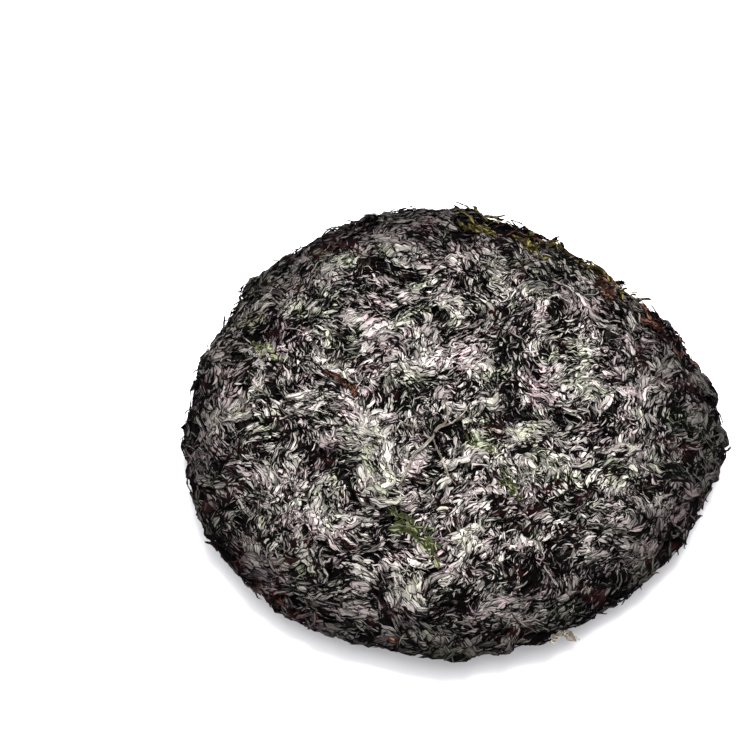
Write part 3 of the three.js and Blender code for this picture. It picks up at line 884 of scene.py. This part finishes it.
class LAVER_OT_strands(bpy.types.Operator):
    """Lay the strands and membranes over the bed."""

    bl_idname = "laver.strands"
    bl_label = "Strands and Membranes"

    def execute(self, context):
        given = settings()
        tree = strand_tree()
        laver = laver_material("laver_skin", BLACK, PALE, (PINK, GREEN))
        sheet = {
            "Density": given.sheets,
            "Shortest": given.shortest,
            "Longest": given.longest,
            "Narrowest": given.narrowest,
            "Widest": given.widest,
            "Turn": 1.1,
            "Sweep": 1.5 * MM,
            "Sweep Size": 6 * MM,
            "Lift": 1.2 * MM,
            "Wave": 0.8 * MM,
            "Dive": 1.0 * MM,
            "Tip Rise": 0.9 * MM,
            "Twist": 0.55,
            "Stations": 13,
            "Sides": 12,
            "Thickness": 0.05,
            "Pleat": 0.12,
            "Crumple": 1.3 * MM,
        }
        rim = {
            **sheet,
            "Seed": 47,
            "Density": given.sheets * 2.6,
            "Longest": 16 * MM,
            "Narrowest": 1.2 * MM,
            "Widest": 4.5 * MM,
            "Turn": 0.8,
            "Tip Rise": 1.5 * MM,
            "Stations": 8,
            "Sides": 8,
        }
        under = {
            **rim,
            "Seed": 59,
            "Density": given.sheets * 0.8,
            "Lift": 0.5 * MM,
            "Wave": 0.3 * MM,
            "Tip Rise": 0.0,
            "Stations": 6,
        }
        strand = {
            **sheet,
            "Seed": 71,
            "Density": given.strands,
            "Shortest": 5 * MM,
            "Longest": 14 * MM,
            "Narrowest": 0.5 * MM,
            "Widest": 1.3 * MM,
            "Lift": 2.0 * MM,
            "Dive": 1.4 * MM,
            "Stations": 8,
            "Sides": 3,
            "Thickness": 0.5,
            "Pleat": 0.0,
            "Crumple": 0.3 * MM,
        }
        curl = {
            **strand,
            "Seed": 83,
            "Shortest": 4 * MM,
            "Turn": 1.2,
            "Sweep": 1.4 * MM,
            "Lift": 0.8 * MM,
            "Tip Rise": 4.5 * MM,
            "Stations": 7,
        }
        for name, faces, values in (
            ("laver_sheets_face_a", on_face, {**sheet, "Seed": 11}),
            ("laver_sheets_face_b", on_face, {**sheet, "Seed": 31}),
            ("laver_sheets_face_c", on_face, {**sheet, "Seed": 37}),
            ("laver_sheets_rim", on_rim, rim),
            ("laver_sheets_under", on_underside, under),
            ("laver_strands_face", on_face, strand),
            ("laver_strands_rim", on_rim, curl),
        ):
            strand_piece(name, faces, laver, tree, values)
        return {"FINISHED"}


def bed_surface():
    """The bed's faces in millimetres, to find places on."""
    bed = bpy.data.objects[BED].data
    return BVHTree.FromPolygons(
        [v.co / MM for v in bed.vertices], [p.vertices for p in bed.polygons]
    )


def film(line, run, ups, width, seed):
    """Corners and faces of one closed, pleated and ragged film along a line, in millimetres."""
    count, lanes = len(line), FILM_LANES
    sides = unit(np.cross(ups, unit(run)))
    along = np.linspace(-1, 1, count)
    across = np.linspace(-1, 1, lanes)
    taper = np.sqrt(np.clip(1 - along**2, 0, 1)) * 0.9 + 0.1
    at = np.array([(a * 6, b, seed * 7.3) for a in along for b in across])
    ragged = 1 + 0.5 * value_noise(at * (2.0, 0.8, 1), seed).reshape(count, lanes) * np.abs(across)
    spread = across * width / 2 * taper[:, None] * ragged
    lift = 0.35 * np.sin(across * FILM_PLEATS * math.pi / 2 + seed + along[:, None])
    lift = lift + 0.45 * value_noise(at * (0.7, 1.5, 1), seed + 1).reshape(count, lanes)
    lift = lift - 0.5 * along[:, None] ** 4
    top = line[:, None] + sides[:, None] * spread[..., None] + ups[:, None] * lift[..., None]
    low = top - ups[:, None] * FILM_THICKNESS
    points = np.concatenate((top.reshape(-1, 3), low.reshape(-1, 3)))
    tones = np.full(len(points), (seed * 0.37) % 1.0)
    lay = np.column_stack((at[:, 0] * MM, at[:, 1] * width / 2 * MM, at[:, 2]))
    faces = []
    under = count * lanes
    for i in range(count - 1):
        for j in range(lanes - 1):
            a, d = i * lanes + j, (i + 1) * lanes + j
            b, c = a + 1, d + 1
            faces.append((a, d, c, b))
            faces.append((a + under, b + under, c + under, d + under))
    loop = list(range(lanes)) + [i * lanes + lanes - 1 for i in range(1, count)]
    loop += [(count - 1) * lanes + j for j in range(lanes - 2, -1, -1)]
    loop += [i * lanes for i in range(count - 2, 0, -1)]
    for a, b in zip(loop, loop[1:] + loop[:1]):
        faces.append((a, b, b + under, a + under))
    return points, faces, tones, np.concatenate((lay, lay))


def film_piece(name, films, material, replaced=None):
    """One piece of those films, as a plain mesh."""
    points, faces, tones, lay = [], [], [], []
    base = 0
    for made in films:
        points.append(made[0])
        faces += [tuple(v + base for v in face) for face in made[1]]
        tones.append(made[2])
        lay.append(made[3])
        base += len(made[0])
    points = np.concatenate(points) * MM
    points[:, 2] = np.maximum(points[:, 2], LEAST_HEIGHT)
    mesh = bpy.data.meshes.new(name)
    mesh.from_pydata(points.tolist(), [], faces)
    store(mesh, "tone", np.concatenate(tones))
    store(mesh, "lay", np.concatenate(lay))
    store(mesh, "height", np.full(base, 1.0))
    mesh.materials.append(material)
    mesh.shade_smooth()
    piece = link(name, mesh)
    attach(piece, "root")
    if replaced:
        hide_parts(replaced)


def dressed_blade(name, material, slot, count, ground):
    """Torn films of one colour that lie where a coloured CAD blade is, along its length."""
    points = corners(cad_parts[name].data) / MM
    middle = points.mean(axis=0)
    axis = np.linalg.svd(points - middle, full_matrices=False)[2][0]
    half = np.abs((points - middle) @ axis).max()
    side = np.cross((0, 0, 1), axis)
    side /= np.linalg.norm(side)
    rng = np.random.default_rng(sum(map(ord, name)))
    films = []
    for i in range(count):
        share = (i + 0.5) / count * 2 - 1
        length = half * 1.3 * rng.uniform(0.5, 0.8)
        turn = rng.normal(0, 0.3)
        way = axis * math.cos(turn) + side * math.sin(turn)
        centre = middle + axis * share * half * 0.62 + side * rng.normal(0, BLADE_WIDTH * 0.22)
        line = centre + np.linspace(-1, 1, BLADE_STATIONS)[:, None] * way * length / 2
        wave = np.sin(np.linspace(0, 3, BLADE_STATIONS) + rng.uniform(0, 6)) * 0.8
        line = line + side * wave[:, None]
        ups = outward_of(line * MM)
        for k, spot in enumerate(line):
            hit, _, _, away = ground.find_nearest(Vector(spot))
            rest = np.array(hit) + ups[k] * (BLADE_LIFT + rng.uniform(0, 0.1))
            # Past 3 mm from the bed a blade starts to hang free of it.
            free = np.clip((away - 3.0) / 3.0, 0, 1)
            line[k] = rest * (1 - free) + spot * free
        run = np.gradient(line, axis=0) + way * 1e-3
        width = BLADE_WIDTH * rng.uniform(0.6, 1.0)
        films.append(film(line, run, ups, width, int(rng.integers(1, 900))))
    film_piece(name + "_films", films, material, name)


def root_threads(material, ground):
    """Pale root-like threads that fork over the middle of the face."""
    films = []
    for number, path in enumerate(ROOTS):
        path = np.array(path, dtype=float)
        steps = np.linspace(0, len(path) - 1, ROOT_STATIONS)
        flat = [np.interp(steps, np.arange(len(path)), path[:, k]) for k in (0, 1)]
        above = np.full(ROOT_STATIONS, 40.0)
        line = np.column_stack((*flat, above))
        level = steps * 0
        stray_x = value_noise(np.column_stack((steps * 2, steps, level)), number)
        stray_y = value_noise(np.column_stack((steps, steps * 2, level)), number + 5)
        line[:, 0] += ROOT_STRAY * stray_x
        line[:, 1] += ROOT_STRAY * stray_y
        for k, spot in enumerate(line):
            line[k] = np.array(ground.ray_cast(Vector(spot), Vector((0, 0, -1)))[0])
        ups = outward_of(line * MM)
        line = line + ups * ROOT_LIFT
        width = 1.2 if number == 0 else 0.9
        films.append(film(line, np.gradient(line, axis=0), ups, width, 300 + number))
    film_piece("root_threads", films, material)


class LAVER_OT_blades(bpy.types.Operator):
    """Lay torn films where the coloured blades are, pale threads, and scraps round the rim."""

    bl_idname = "laver.blades"
    bl_label = "Coloured Blades"

    def execute(self, context):
        # Each colour's creases, skin, and the skin's two other hues.
        looks = {
            "green": (
                (0.02, 0.024, 0.008),
                (0.34, 0.35, 0.22),
                ((0.2, 0.21, 0.08), (0.4, 0.4, 0.29)),
            ),
            "olive": (
                (0.014, 0.01, 0.003),
                (0.2, 0.17, 0.06),
                ((0.34, 0.33, 0.07), (0.14, 0.08, 0.04)),
            ),
            "russet": (
                (0.01, 0.004, 0.003),
                (0.13, 0.07, 0.05),
                ((0.2, 0.07, 0.04), (0.12, 0.1, 0.04)),
            ),
            "straw": (
                (0.13, 0.11, 0.09),
                (0.68, 0.64, 0.56),
                ((0.6, 0.54, 0.46), (0.5, 0.47, 0.38)),
            ),
        }
        made = {}
        for name, colours in looks.items():
            look = {"layered": False, "rim_shade": 1.0, "stains": (colours[0],) * 2}
            made[name] = laver_material(name + "_laver", *colours, **look)
        ground = bed_surface()
        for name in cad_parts:
            colour = name.split("_")[0]
            if colour in made:
                count = 9 if name == "green_blade_front" else 4
                dressed_blade(name, made[colour], colour + "_laver", count, ground)
        root_threads(made["straw"], ground)
        tree = bpy.data.node_groups["Laver strands"]
        lace = {
            "Density": 90000.0,
            "Shortest": 5 * MM,
            "Longest": 14 * MM,
            "Narrowest": 0.6 * MM,
            "Widest": 3.0 * MM,
            "Turn": 1.1,
            "Sweep": 1.5 * MM,
            "Sweep Size": 4 * MM,
            "Lift": 1.6 * MM,
            "Wave": 0.6 * MM,
            "Dive": 1.8 * MM,
            "Tip Rise": 7 * MM,
            "Twist": 0.8,
            "Stations": 8,
            "Sides": 6,
            "Thickness": 0.12,
            "Pleat": 0.16,
            "Crumple": 0.8 * MM,
        }
        front = {"Seed": 176, "Density": 14000.0, "Tip Rise": 2.0 * MM}
        for name, first, last, own in (
            ("olive_lace_1", 30, 95, {"Seed": 121}),
            ("russet_lace_2", 10, 80, {"Seed": 146}),
            ("russet_lace_3", -135, -60, front),
        ):
            colour = name.split("_")[0]
            piece = strand_piece(name, on_arc(first, last), made[colour], tree, {**lace, **own})
            colour + "_laver"
        return {"FINISHED"}


class LAVER_OT_stage(bpy.types.Operator):
    """Set the pale floor, the soft lights and the camera."""

    bl_idname = "laver.stage"
    bl_label = "Floor, Lights and Camera"

    def execute(self, context):
        scene = context.scene
        scene.view_settings.view_transform = "Standard"
        mesh = bpy.data.meshes.new("floor")
        shape = bmesh.new()
        bmesh.ops.create_grid(shape, x_segments=1, y_segments=1, size=3.0)
        shape.to_mesh(mesh)
        shape.free()
        floor = link("floor", mesh)
        material, _, shader = shader_tree("pale_floor")
        for label, value in {
            "Base Color": (0.73, 0.72, 0.74, 1),
            "Roughness": 0.9,
            "Specular IOR Level": 0.1,
            "Emission Color": (0.95, 0.96, 1, 1),
            "Emission Strength": 0.13,
        }.items():
            shader.inputs[label].default_value = value
        mesh.materials.append(material)

        world = bpy.data.worlds.new("studio")
        scene.world = world
        world.use_nodes = True
        sky = world.node_tree.nodes["Background"]
        sky.inputs["Color"].default_value = (1, 1, 1, 1)
        sky.inputs["Strength"].default_value = 1.1

        # Each light's name, place, width, depth and power.
        lights = (
            ("back_softbox", (0.12, 0.4, 1.1), 0.7, 0.6, 25.0),
            ("top_softbox", (-0.1, 0.0, 1.3), 1.1, 1.1, 10.0),
        )
        for name, place, width, depth, power in lights:
            lamp = bpy.data.lights.new(name, "AREA")
            lamp.shape = "RECTANGLE"
            lamp.size, lamp.size_y = width, depth
            lamp.energy = power
            holder = bpy.data.objects.new(name, lamp)
            scene.collection.objects.link(holder)
            holder.location = place
            holder.rotation_euler = (-Vector(place)).to_track_quat("-Z", "Y").to_euler()

        aim = Vector((*(HEART * MM), AIM_HEIGHT * MM))
        lens = bpy.data.cameras.new("camera")
        lens.lens = LENS
        lens.sensor_width = SENSOR
        camera = bpy.data.objects.new("camera", lens)
        scene.collection.objects.link(camera)
        scene.camera = camera
        focal = lens.lens / lens.sensor_width * PIXELS
        tilt = math.radians(TILT)
        back = Vector((0, -math.cos(tilt), math.sin(tilt)))
        camera.location = aim + back * (focal * PIXEL_MM * MM)
        facing = (-back).to_track_quat("-Z", "Y")
        middle = PIXELS / 2
        seen = Vector((SEEN_AT[0] - middle, middle - SEEN_AT[1], -focal)).normalized()
        turn = Vector((0, 0, -1)).rotation_difference(seen)
        camera.rotation_mode = "QUATERNION"
        camera.rotation_quaternion = facing @ turn.inverted()
        return {"FINISHED"}


# ---- settings, panel and registration ----


class LaverSettings(bpy.types.PropertyGroup):
    bed_grid: FloatProperty(
        name="Bed Grid",
        description="Size of the even grid that the bed of folds is cut to",
        default=1.4 * MM,
        min=0.6 * MM,
        unit="LENGTH",
    )
    bed_folds: FloatProperty(
        name="Bed Folds",
        description="Height of the fine folds on the bed",
        default=0.45 * MM,
        min=0.0,
        unit="LENGTH",
    )
    sheets: FloatProperty(
        name="Sheet Density",
        description="Creased blades started on each square metre of the face, in each layer",
        default=17000.0,
        min=0.0,
    )
    strands: FloatProperty(
        name="Strand Density",
        description="Thin strands started on each square metre of the face",
        default=80000.0,
        min=0.0,
    )
    shortest: FloatProperty(
        name="Shortest Blade",
        description="Length of the shortest blades on the face",
        default=9 * MM,
        min=0.0,
        unit="LENGTH",
    )
    longest: FloatProperty(
        name="Longest Blade",
        description="Length of the longest blades on the face",
        default=24 * MM,
        min=0.0,
        unit="LENGTH",
    )
    narrowest: FloatProperty(
        name="Narrowest Blade",
        description="Width of the narrowest blades on the face",
        default=2.2 * MM,
        min=0.0,
        unit="LENGTH",
    )
    widest: FloatProperty(
        name="Widest Blade",
        description="Width of the widest blades on the face",
        default=10.0 * MM,
        min=0.0,
        unit="LENGTH",
    )


class LAVER_PT_panel(bpy.types.Panel):
    """The laver cake's settings and its operators in order."""

    bl_idname = "LAVER_PT_panel"
    bl_label = "Laver Cake"
    bl_space_type = "VIEW_3D"
    bl_region_type = "UI"
    bl_category = "Laver"

    def draw(self, context):
        layout = self.layout
        for name in LaverSettings.__annotations__:
            layout.prop(context.scene.laver, name)
        for operator in OPERATORS:
            layout.operator(operator.bl_idname)


OPERATORS = (LAVER_OT_bed, LAVER_OT_strands, LAVER_OT_blades, LAVER_OT_stage)
CLASSES = (LaverSettings, *OPERATORS, LAVER_PT_panel)


def register():
    for one in CLASSES:
        bpy.utils.register_class(one)
    bpy.types.Scene.laver = PointerProperty(type=LaverSettings)


def unregister():
    del bpy.types.Scene.laver
    for one in reversed(CLASSES):
        bpy.utils.unregister_class(one)


def main():
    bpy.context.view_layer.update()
    register()
    bpy.ops.laver.bed()
    bpy.ops.laver.strands()
    bpy.ops.laver.blades()
    bpy.ops.laver.stage()


if __name__ == "__main__":
    main()
